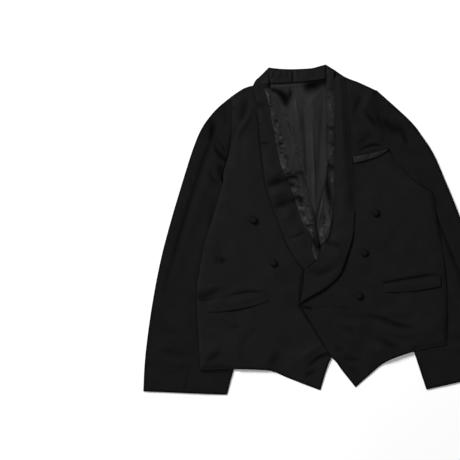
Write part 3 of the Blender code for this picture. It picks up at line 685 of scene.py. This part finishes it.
class Field:
    """Square grid over the jacket, and the smoothing and sampling of heights on it."""

    def __init__(self, low, high):
        self.low = np.array(low) - GRID_MARGIN
        self.x = np.arange(self.low[0], high[0] + GRID_MARGIN, CELL)
        self.y = np.arange(self.low[1], high[1] + GRID_MARGIN, CELL)
        self.shape = (len(self.x), len(self.y))
        grid_x, grid_y = np.meshgrid(self.x, self.y, indexing="ij")
        self.cells = np.column_stack([grid_x.ravel(), grid_y.ravel()])
        self.pile = np.zeros(self.shape)
        self.owner = np.full(self.shape, -1)

    def raster(self, corners, triangles):
        """Returns the height of the triangles over each cell, and which cells they cover."""
        height = np.zeros(self.shape)
        covered = np.zeros(self.shape, dtype=bool)
        for a, b, c in corners[triangles]:
            columns = slice(*np.searchsorted(self.x, [min(a[0], b[0], c[0]), max(a[0], b[0], c[0])]))
            rows = slice(*np.searchsorted(self.y, [min(a[1], b[1], c[1]), max(a[1], b[1], c[1])]))
            double = (b[0] - a[0]) * (c[1] - a[1]) - (c[0] - a[0]) * (b[1] - a[1])
            if not double:
                continue
            x, y = self.x[columns][:, None], self.y[rows][None, :]
            u = ((x - a[0]) * (c[1] - a[1]) - (c[0] - a[0]) * (y - a[1])) / double
            v = ((b[0] - a[0]) * (y - a[1]) - (x - a[0]) * (b[1] - a[1])) / double
            here = (u >= 0) & (v >= 0) & (u + v <= 1)
            height[columns, rows][here] = (a[2] + u * (b[2] - a[2]) + v * (c[2] - a[2]))[here]
            covered[columns, rows] |= here
        return height, covered

    def blur(self, values, radius):
        """Returns the values smoothed over a radius."""
        reach = max(1, math.ceil(BLUR_REACH * radius / CELL))
        weights = np.exp(-0.5 * (np.arange(-reach, reach + 1) * CELL / radius) ** 2)
        weights /= weights.sum()
        for axis in (0, 1):
            total = np.zeros_like(values)
            for shift, weight in zip(range(-reach, reach + 1), weights):
                total += weight * np.roll(values, shift, axis=axis)
            values = total
        return values

    def spread(self, values):
        """Returns the highest value among each cell and its neighbours."""
        for axis in (0, 1):
            values = np.maximum(values, np.maximum(np.roll(values, 1, axis), np.roll(values, -1, axis)))
        return values

    def sample(self, values, places):
        """Returns the values at places between the cells."""
        at = (places - self.low) / CELL
        cell = np.clip(np.floor(at).astype(int), 0, np.array(self.shape) - 2)
        u, v = (at - cell).T
        i, j = cell.T
        low = values[i, j] * (1 - u) + values[i + 1, j] * u
        high = values[i, j + 1] * (1 - u) + values[i + 1, j + 1] * u
        return low * (1 - v) + high * v

    def nearest(self, values, places):
        """Returns the values of the cells nearest to places."""
        i, j = np.round((places - self.low) / CELL).astype(int).T
        return values[i, j]


class Solid:
    """The upper side of one of the frame's cloth solids, in millimetres."""

    def __init__(self, node):
        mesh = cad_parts[node].data
        mesh.calc_loop_triangles()
        raw = np.array([tuple(vert.co) for vert in mesh.vertices]) / MM
        self.corners, index = np.unique(np.round(raw, WELD_DECIMALS), axis=0, return_inverse=True)
        index = index.reshape(-1)
        triangles = index[np.array([tuple(t.vertices) for t in mesh.loop_triangles])]
        a, b, c = (self.corners[triangles[:, i]] for i in range(3))
        normal = np.cross(b - a, c - a)
        upward = normal[:, 2] / np.maximum(np.linalg.norm(normal, axis=1), TINY)
        self.triangles = triangles[upward > UPWARD]

    def outline(self):
        """Returns the edge of the upper side as one anticlockwise loop of points."""
        sides = {(a, b) for t in self.triangles.tolist() for a, b in zip(t, t[1:] + t[:1])}
        after = {a: b for a, b in sides if (b, a) not in sides}
        first = min(after)
        loop = [first]
        while after[loop[-1]] != first:
            loop.append(after[loop[-1]])
        return self.corners[loop][:, :2]


def add_crinkles(creases):
    """Adds the rows of crinkles to the creases, with the same unevenness each run."""
    for row in CRINKLES:
        chance = random.Random(row.seed)
        line = catmull(row.points, CRINKLE_STEP)
        for k in range(row.count):
            at = int((k + chance.uniform(*CRINKLE_PLACES)) / row.count * (len(line) - 2))
            along = line[at + 1] - line[at]
            turn = math.radians(row.turn + chance.uniform(-CRINKLE_TURN, CRINKLE_TURN))
            angle = math.atan2(along[1], along[0]) + turn
            half = chance.uniform(*row.length) / 2 * np.array([math.cos(angle), math.sin(angle)])
            stray = chance.uniform(-1, 1) * row.spread, chance.uniform(-CRINKLE_STRAY, CRINKLE_STRAY)
            middle = line[at] + np.array(stray)
            bow = middle + chance.uniform(-CRINKLE_BOW, CRINKLE_BOW) * half[::-1] * (1, -1)
            height = chance.uniform(*row.height) * chance.choice(CRINKLE_WAYS)
            width = chance.uniform(*row.width)
            # painted shade in a trough, painted highlight on a ridge
            dark = CRINKLE_PAINTED_SHADE if height < 0 else CRINKLE_GLEAM
            creases[row.node].append(Crease(width, height, [middle - half, bow, middle + half], dark))


def button_centre(node):
    """Returns the middle of a button's solid, seen from above."""
    low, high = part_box(node)
    return [(a + b) / 2 / MM for a, b in zip(low[:2], high[:2])]


def add_dimples(creases):
    """Adds the dimple of each button to its front's creases."""
    for node in BUTTON_NODES:
        x, y = button_centre(node)
        points = [(x - DIMPLE_HALF_LENGTH, y), (x + DIMPLE_HALF_LENGTH, y)]
        front = "front_right" if x < 0 else "front_left"
        creases[front].append(Crease(DIMPLE_WIDTH, DIMPLE_HEIGHT, points, fade="none"))


def all_creases():
    """Returns the creases of each piece, its crinkles and buttons' dimples included."""
    creases = defaultdict(list)
    for node, rows in CREASES.items():
        creases[node] += [Crease(*row) for row in rows]
    add_crinkles(creases)
    add_dimples(creases)
    return creases


def crease_height(rows, places, sharp):
    """Returns how far creases raise or lower each place, and the share of light that their painted shade
    and highlights leave it.
    """
    rise = np.zeros(len(places))
    light = np.ones(len(places))
    for row in rows:
        line = catmull(row.points, CREASE_SPACING)
        reach = CREASE_REACH * row.width * (1 + abs(row.lean))
        near = np.all((places > line.min(0) - reach) & (places < line.max(0) + reach), axis=1)
        if not near.any():
            continue
        away, along, left = nearest_on(places[near], line, reach)
        share = along / run_along(line)[-1]
        width = row.width * np.where(left, 1 + row.lean, 1 - row.lean)
        fade = np.ones(len(away))
        if row.fade in ("both", "start"):
            fade *= np.sin(np.clip(share / FADE_SHARE, 0, 1) * math.pi / 2)
        if row.fade in ("both", "end"):
            fade *= np.sin(np.clip((1 - share) / FADE_SHARE, 0, 1) * math.pi / 2)
        rise[near] += row.height * fade * np.exp(-((away / width) ** sharp))
        # painted shade along the crease, a painted highlight where dark is below nought
        light[near] *= 1 - row.dark * fade * np.exp(-((away / width) ** 2))
    return rise, light


def waves(seed, places):
    """Returns the slow unevenness of loose cloth, the same each run."""
    chance = random.Random(seed)
    rise = np.zeros(len(places))
    for _ in range(WAVE_COUNT):
        angle = chance.uniform(0, math.pi)
        length = chance.uniform(*WAVE_LENGTHS)
        phase = chance.uniform(0, 2 * math.pi)
        along = places @ np.array([math.cos(angle), math.sin(angle)])
        rise += np.sin(along * 2 * math.pi / length + phase)
    return rise * WAVE_HEIGHT / math.sqrt(WAVE_COUNT / 2)


class Shape:
    """The height of a fine piece's upper side anywhere inside its outline."""

    def __init__(self, cloth, creases, laid):
        solid = Solid(cloth.node)
        self.cloth = cloth
        self.creases = creases
        satin = cloth.material == "satin"
        self.sharp = SATIN_SHARPNESS if satin else CLOTH_SHARPNESS
        self.seam_step = SATIN_SEAM_STEP if satin else LAYER_GAP + cloth.wall
        self.outline = fine_outline(OUTLINES.get(cloth.node, solid.outline()))
        self.met = np.zeros(len(self.outline))
        self.line = closed(self.outline)
        self.run = run_along(self.line)
        top, covered = field.raster(solid.corners, solid.triangles)
        away = nearest_on(field.cells, self.line)[0].reshape(field.shape)
        away[~inside(field.cells, self.outline).reshape(field.shape)] = 0
        self.seam_ease = min(SEAM_EASE, NARROW_EASE * away.max())
        inner = (covered & (away > min(ROLL_RADIUS, cloth.smooth))).astype(float)
        weight, total = (
            field.blur(part, cloth.smooth) + FAR_WEIGHT * field.blur(part, FAR_RADIUS)
            for part in (inner, top * inner)
        )
        self.base = np.where(weight > LEAST_WEIGHT, total / np.maximum(weight, LEAST_WEIGHT), 0)
        self.lift = np.zeros(field.shape)
        self.mask = away > CELL / 2
        self.finish_edge(laid)

    def finish_edge(self, laid):
        """Works out where the edge meets a piece that it is sewn to, and where it turns down."""
        outward = outward_from(self.outline)
        beyond = self.beyond = self.outline + outward * SEAM_LOOK
        bed = np.maximum(
            field.nearest(field.pile, self.outline),
            field.nearest(field.pile, self.outline - outward * CELL),
        )
        self.pressed = self.near_stretch(PRESSED)
        edge_wall = self.cloth.wall + (PRESSED_WALL - self.cloth.wall) * self.pressed
        resting = bed + LAYER_GAP + edge_wall
        level = field.sample(self.base, self.outline)
        target = resting.copy()
        sewn = np.zeros(len(self.outline), dtype=bool)
        for node in self.cloth.joins:
            over = field.nearest(field.owner, beyond) == NUMBERS[node]
            target[over] = field.nearest(field.pile, beyond)[over] + self.seam_step
            sewn |= over
            for i, point in enumerate(self.outline):
                off = np.hypot(*(laid[node].outline - point).T)
                if off.min() < SEAM_REACH:
                    target[i] = laid[node].edge_height[off.argmin()]
                    sewn[i] = True
                    laid[node].met[off < EDGE_SPACING] = 1
        drop = np.where(sewn, 0, np.maximum(level - resting, 0))
        drop *= 1 - LIFT_SHARE * self.near_stretch(LIFTED)
        self.sewn = smooth_round(sewn.astype(float), 1)
        self.pull = smooth_round(np.where(sewn, target - level, -drop * self.pressed), 2)
        self.roll = smooth_round(drop * (1 - self.pressed), 2)
        self.outline = self.outline + outward * HALF_SEAM * sewn[:, None]

    def near_stretch(self, stretches):
        """Returns how near each point of the outline is to the stretches, from 0 to 1."""
        share = np.zeros(len(self.outline))
        for row in stretches:
            if row.node == self.cloth.node:
                line = catmull(row.points, CREASE_SPACING)
                away = nearest_on(self.outline, line, STRETCH_REACHES * row.reach)[0]
                near = np.minimum(STRETCH_GAIN * np.exp(-((away / row.reach) ** 2)), 1)
                share = np.maximum(share, near)
        return share

    def held(self, values, along):
        """Returns the outline's values at places that are some way along it."""
        return np.interp(along, self.run, np.append(values, values[0]))

    def wall(self, places):
        """Returns the thickness of the cloth, less at pressed edges."""
        away, along, _ = nearest_on(places, self.line)
        pressed = self.held(self.pressed, along) * np.exp(-((away / PRESSED_EASE) ** 2))
        return self.cloth.wall + (PRESSED_WALL - self.cloth.wall) * pressed

    def height(self, places):
        """Returns the height of the upper side, its creases and turned edges included."""
        rise = crease_height(self.creases, places, self.sharp)[0]
        rise = rise + waves(NUMBERS[self.cloth.node], places)
        away, along, _ = nearest_on(places, self.line)
        sewn, pull, roll = (self.held(values, along) for values in (self.sewn, self.pull, self.roll))
        ease = np.exp(-((away / self.seam_ease) ** 2))
        top = field.sample(self.base + self.lift, places) + rise * (1 - sewn * ease) + pull * ease
        inward = 1 - np.clip(away / ROLL_RADIUS, 0, 1)
        return top - roll * (1 - np.sqrt(np.maximum(1 - inward**2, 0)))

    def settle(self):
        """Lifts the piece clear of what lies under it, softly, and adds it to the pile."""
        places = field.cells[self.mask.ravel()]
        under = field.pile[self.mask] + LAYER_GAP + self.wall(places)
        for softness in SETTLE_SOFTNESS:
            sunk = np.zeros(field.shape)
            sunk[self.mask] = np.maximum(under - self.height(places), 0)
            self.lift += field.blur(field.spread(sunk), softness)
        found, count = np.unique(field.owner[self.mask], return_counts=True)
        wide = found[count > REST_SHARE * count.sum()]
        self.rests_on = [piece_name(CLOTHS[k].node) if k >= 0 else "ground" for k in wide]
        field.pile[self.mask] = self.height(places)
        field.owner[self.mask] = NUMBERS[self.cloth.node]
        self.edge_height = self.height(self.outline)

    def shade(self, places, top, bed):
        """Returns the painted shade of each place, as the share of light it keeps: less in hollows and
        along turned edges.
        """
        # painted shade in hollows, where the blurred pile stands above the top
        sunk = np.clip((field.sample(bed, places) - top - HOLLOW_START) / HOLLOW_DEPTH, 0, 1)
        away, along, _ = nearest_on(places, self.line)
        # painted shade along turned edges, strongest at the outer rim
        rim = smooth_round((field.nearest(field.owner, self.beyond) < 0).astype(float), 1)
        edge_shade_strength = (PAINTED_EDGE_SHADE + (PAINTED_RIM_SHADE - PAINTED_EDGE_SHADE) * rim) * (1 - self.pressed) * (1 - self.seam())
        width = PAINTED_EDGE_SHADE_WIDTH + (PAINTED_RIM_SHADE_WIDTH - PAINTED_EDGE_SHADE_WIDTH) * rim
        turned = self.held(edge_shade_strength, along) * np.exp(-((away / self.held(width, along)) ** 2))
        # painted shade and highlights of the creases, times each piece's painted light
        light = crease_height(self.creases, places, self.sharp)[1] * PAINTED_PIECE_LIGHT.get(self.cloth.node, 1.0)
        return light * (1 - PAINTED_HOLLOW_SHADE * sunk) * (1 - turned)

    def seam(self):
        """Returns how far each point of the outline is sewn to a piece laid before or after."""
        return np.maximum(self.sewn, smooth_round(self.met, 1))


def fine_places(outline, step):
    """Returns the outline's points, the rows just inside them and an even lattice."""
    outward = outward_from(outline)
    line = closed(outline)
    rows = []
    for depth in EDGE_ROWS:
        row = outline - outward * depth
        row = row[inside(row, outline)]
        rows.append(row[nearest_on(row, line)[0] > ROW_CLEARANCE * depth])
    low, high = outline.min(0), outline.max(0)
    lattice = []
    for i, y in enumerate(np.arange(low[1], high[1], step * math.sqrt(0.75))):
        x = np.arange(low[0] + step / 2 * (i % 2), high[0], step)
        lattice.append(np.column_stack([x, np.full(len(x), y)]))
    lattice = np.vstack(lattice)
    lattice = lattice[inside(lattice, outline)]
    lattice = lattice[nearest_on(lattice, line)[0] > EDGE_ROWS[-1] + LATTICE_CLEARANCE * step]
    return np.vstack([outline, *rows, lattice])


def shell(shape, bed):
    """Returns a thin closed shell with a rounded edge under a shape's upper side."""
    cloth, outline = shape.cloth, shape.outline
    places = [Vector(place) for place in fine_places(outline, cloth.step)]
    count = len(outline)
    sides = [(i, (i + 1) % count) for i in range(count)]
    found, _, triangles, *_ = delaunay_2d_cdt(places, sides, [], INSIDE_ONLY, JOIN_DISTANCE, False)
    found = np.array([tuple(place) for place in found])
    triangles = np.array([tuple(corners) for corners in triangles])
    triangles = triangles[inside(found[triangles].mean(1), outline)]
    top = shape.height(found)
    wall = shape.wall(found)
    on_edge = np.arange(len(found)) < count
    dip = np.zeros(len(found))
    dip[:count] = wall[:count] / 2 + (SEAM_DIP - wall[:count] / 2) * shape.seam()
    upper = np.column_stack([found, np.maximum(top - dip, LEAST_HEIGHT)])
    lower = np.column_stack([found, np.maximum(top - wall, LEAST_HEIGHT)])[~on_edge]
    below = np.arange(len(found))
    below[~on_edge] = len(found) + np.arange(len(lower))
    faces = np.vstack([triangles, below[triangles][:, ::-1]])
    mesh = bpy.data.meshes.new(piece_name(cloth.node))
    mesh.from_pydata(np.vstack([upper, lower]) * MM, [], faces.tolist())
    mesh.shade_smooth()
    # painted shade on the upper side; the underside keeps full light
    keep_light(mesh, np.append(shape.shade(found, top, bed), np.ones(len(lower))))
    return mesh


def keep_light(mesh, light):
    """Keeps each point's painted light and shade, as a share of light, for its material's colour."""
    mesh.attributes.new("light", "FLOAT", "POINT").data.foreach_set("value", light)


def piece_name(node):
    """Returns the name of the piece of cloth that stands for a node."""
    return node + "_cloth"


def new_object(name, data):
    """Returns a new object in the scene."""
    obj = bpy.data.objects.new(name, data)
    bpy.context.scene.collection.objects.link(obj)
    return obj


def add_piece(name, mesh, material, *nodes):
    """Adds a finished mesh to the jacket, in place of the nodes that it stands for."""
    obj = new_object(name, mesh)
    mesh.materials.append(MATERIALS[material])
    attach(obj, "root")
    SLOTS[material]
    if nodes:
        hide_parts(*nodes)
    return obj


def rings_mesh(name, rings, endless):
    """Returns a mesh of quads over rings of points, joined end to end or closed at both ends."""
    count = len(rings[0])
    verts = [tuple(c * MM for c in point) for ring in rings for point in ring]
    faces = []
    for k in range(len(rings) if endless else len(rings) - 1):
        here, there = k * count, (k + 1) % len(rings) * count
        for i in range(count):
            after = (i + 1) % count
            faces.append((here + i, there + i, there + after, here + after))
    if not endless:
        faces.append(tuple(range(count)))
        faces.append(tuple(reversed(range(len(verts) - count, len(verts)))))
    mesh = bpy.data.meshes.new(name)
    mesh.from_pydata(verts, [], faces)
    mesh.shade_smooth()
    return mesh


class Nodes:
    """Short calls that add and link a material's shader nodes."""

    def __init__(self, name):
        self.material = bpy.data.materials.new(name)
        self.material.use_nodes = True
        self.tree = self.material.node_tree
        self.shader = self.tree.nodes["Principled BSDF"]
        self.place = self.add("ShaderNodeTexCoord", {}).outputs["Object"]

    def put(self, value, socket):
        """Links another node's output to a socket, or gives it a plain value."""
        if isinstance(value, bpy.types.NodeSocket):
            self.tree.links.new(value, socket)
        else:
            socket.default_value = value

    def add(self, kind, inputs, **settings):
        """Adds a node with its settings, and what goes into its inputs."""
        node = self.tree.nodes.new(kind)
        for key, value in settings.items():
            setattr(node, key, value)
        for key, value in inputs.items():
            self.put(value, node.inputs[key])
        return node

    def mapped(self, scale, turn=0.0):
        """Returns places on the object, scaled and turned."""
        inputs = {"Vector": self.place, "Scale": scale, "Rotation": (0, 0, turn)}
        return self.add("ShaderNodeMapping", inputs).outputs["Vector"]

    def noise(self, row):
        """Returns a row's noise."""
        inputs = {"Vector": self.mapped(row.stretch), "Scale": row.scale, "Detail": row.detail}
        return self.add("ShaderNodeTexNoise", inputs).outputs["Fac"]

    def rib(self, row):
        """Returns a row's bands."""
        inputs = {
            "Vector": self.mapped((1, 1, 1), math.radians(row.turn)),
            "Scale": BAND_DISTANCE / row.distance,
            "Distortion": BAND_STRAY,
            "Detail": BAND_DETAIL,
        }
        wave = self.add("ShaderNodeTexWave", inputs, wave_type="BANDS", bands_direction="X")
        return wave.outputs["Fac"]

    def light(self):
        """Returns the painted share of light at each point of the mesh."""
        return self.add("ShaderNodeAttribute", {}, attribute_name="light").outputs["Fac"]

    def colour(self, finish):
        """Returns a finish's colour, with painted shade where less light reaches it."""
        ramp = self.add("ShaderNodeValToRGB", {"Fac": self.noise(finish.patches)})
        for element, place, colour in zip(ramp.color_ramp.elements, BLEND, (finish.dark, finish.light)):
            element.position = place
            element.color = (*colour, 1)
        found = ramp.outputs["Color"]
        if finish.shaded:
            inputs = {"Vector": found, "Scale": self.light()}
            found = self.add("ShaderNodeVectorMath", inputs, operation="SCALE").outputs["Vector"]
        return found

    def roughness(self, finish):
        """Returns a finish's roughness, duller in hollows where the finish says so."""
        if finish.hollow_roughness is None:
            return finish.roughness
        inputs = {"Value": self.light(), "To Min": finish.hollow_roughness, "To Max": finish.roughness}
        return self.add("ShaderNodeMapRange", inputs).outputs["Result"]

    def bumps(self, rows):
        """Returns the way the surface faces under rows of noise and ribs."""
        under = {}
        for row in rows:
            height = self.rib(row) if isinstance(row, Rib) else self.noise(row)
            inputs = {"Height": height, "Distance": row.depth, "Strength": row.strength}
            under = {"Normal": self.add("ShaderNodeBump", inputs | under).outputs["Normal"]}
        return under["Normal"]


def material_of(finish):
    """Returns a new material with a finish."""
    nodes = Nodes(finish.name)
    inputs = {
        "Base Color": nodes.colour(finish),
        "Normal": nodes.bumps(finish.bumps),
        "Roughness": nodes.roughness(finish),
        "Specular IOR Level": finish.specular,
        "Sheen Weight": finish.sheen,
        "Sheen Roughness": SHEEN_ROUGHNESS,
    }
    for key, value in inputs.items():
        nodes.put(value, nodes.shader.inputs[key])
    return nodes.material


def lay_cloths():
    """Lays every piece of cloth in order, and adds its shell."""
    creases = all_creases()
    laid = {}
    for cloth in CLOTHS:
        laid[cloth.node] = Shape(cloth, creases[cloth.node], laid)
        laid[cloth.node].settle()
    # blurred pile, against which hollows get painted shade
    bed = field.blur(field.pile, HOLLOW_RADIUS)
    for cloth in CLOTHS:
        obj = add_piece(piece_name(cloth.node), shell(laid[cloth.node], bed), cloth.material, cloth.node)
        rests_on = laid[cloth.node].rests_on
    return laid


def sew_buttons():
    """Puts a covered button on its shank where each button's solid is."""
    angles = angles_round(BUTTON_SEGMENTS)
    # painted shade round the button's rim
    light = [BUTTON_RIM_LIGHT if radius > BUTTON_RIM else 1.0 for radius, _ in BUTTON_PROFILE]
    for node in BUTTON_NODES:
        x, y = button_centre(node)
        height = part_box(node)[0][2] / MM + BUTTON_SHANK_HEIGHT
        rings = []
        for radius, rise in BUTTON_PROFILE:
            ring = [(x + radius * math.cos(a), y + radius * math.sin(a), height + rise) for a in angles]
            rings.append(ring)
        mesh = rings_mesh(node + "_cover", rings, endless=False)
        keep_light(mesh, np.repeat(light, BUTTON_SEGMENTS))
        add_piece(node + "_cover", mesh, "cover", node)


def work_buttonhole(front):
    """Works thread round the buttonhole at the front's edge."""
    start, end = (np.array(point) for point in BUTTONHOLE_ENDS)
    side = (end - start) / np.linalg.norm(end - start)
    across = np.array([-side[1], side[0]])
    steps = BUTTONHOLE_ARC_STEPS
    angles = [math.pi / 2 + math.pi * k / steps for k in range(steps + 1)]
    arc = [BUTTONHOLE_HALF_WIDTH * (math.cos(a) * side + math.sin(a) * across) for a in angles]
    loop = closed(np.array([start + out for out in arc] + [end - out for out in arc]))
    run = run_along(loop)
    spots = np.linspace(0, run[-1], RINGS_A_STITCH * BUTTONHOLE_STITCHES, endpoint=False)
    line = np.column_stack([np.interp(spots, run, loop[:, i]) for i in (0, 1)])
    level = front.height(line).max() + THREAD_LIFT
    rings = []
    for k, (place, out) in enumerate(zip(line, outward_from(line))):
        wave = math.cos(2 * math.pi * k / RINGS_A_STITCH)
        radius = THREAD_RADIUS * (1 - THREAD_WAIST + THREAD_WAIST * wave)
        ring = [
            (*(place + out * radius * math.cos(a)), level + radius * math.sin(a))
            for a in angles_round(THREAD_SIDES)
        ]
        rings.append(ring)
    add_piece("buttonhole", rings_mesh("buttonhole", rings, endless=True), "thread")


def photo_place(pixel):
    """Returns a pixel's place on the ground, in metres."""
    x = (pixel[0] - ORIGIN_PIXEL[0]) * PIXEL_SIZE * MM
    y = (ORIGIN_PIXEL[1] - pixel[1]) * PIXEL_SIZE * MM
    return x, y


def add_camera():
    """Looks straight down on the jacket, in the photograph's frame."""
    data = bpy.data.cameras.new("camera")
    camera = new_object("camera", data)
    x, y = photo_place((PHOTO_SIDE / 2, PHOTO_SIDE / 2))
    middle = (cad_box[0][2] + cad_box[1][2]) / 2
    camera.location = (x, y, middle + CAMERA_HEIGHT)
    data.sensor_width = SENSOR
    data.lens = SENSOR * CAMERA_HEIGHT / (PHOTO_SIDE * PIXEL_SIZE * MM)
    bpy.context.scene.camera = camera


def add_stage():
    """Adds the ground, the lights and the plain white surroundings."""
    ground = bpy.data.meshes.new("ground")
    side = GROUND_HALF_SIDE
    corners = [(-side, -side, 0), (side, -side, 0), (side, side, 0), (-side, side, 0)]
    ground.from_pydata(corners, [], [(0, 1, 2, 3)])
    ground.materials.append(material_of(GROUND_FINISH))
    floor = new_object("ground", ground)
    floor.location.z = cad_box[0][2] - GROUND_DROP
    for row in LIGHTS:
        data = bpy.data.lights.new(row.name, "AREA")
        data.size = row.width
        data.energy = row.power
        light = new_object(row.name, data)
        light.location = row.place
        aim = Vector(row.aim) - Vector(row.place)
        light.rotation_euler = aim.to_track_quat("-Z", "Y").to_euler()
    world = bpy.data.worlds.new("plain")
    world.use_nodes = True
    background = world.node_tree.nodes["Background"].inputs
    background["Color"].default_value = (1, 1, 1, 1)
    background["Strength"].default_value = WORLD_STRENGTH
    bpy.context.scene.world = world
    bpy.context.scene.view_settings.view_transform = "Standard"


MATERIALS = {name: material_of(finish) for name, finish in FINISHES.items()}
SLOTS = {
    "wool": "black_wool",
    "facing": "black_facing",
    "satin": "black_satin",
    "cover": "covered_button",
    "thread": "black_facing",
}

add_stage()
add_camera()
field = Field([c / MM for c in cad_box[0][:2]], [c / MM for c in cad_box[1][:2]])
cloths = lay_cloths()
sew_buttons()
work_buttonhole(cloths["front_left"])
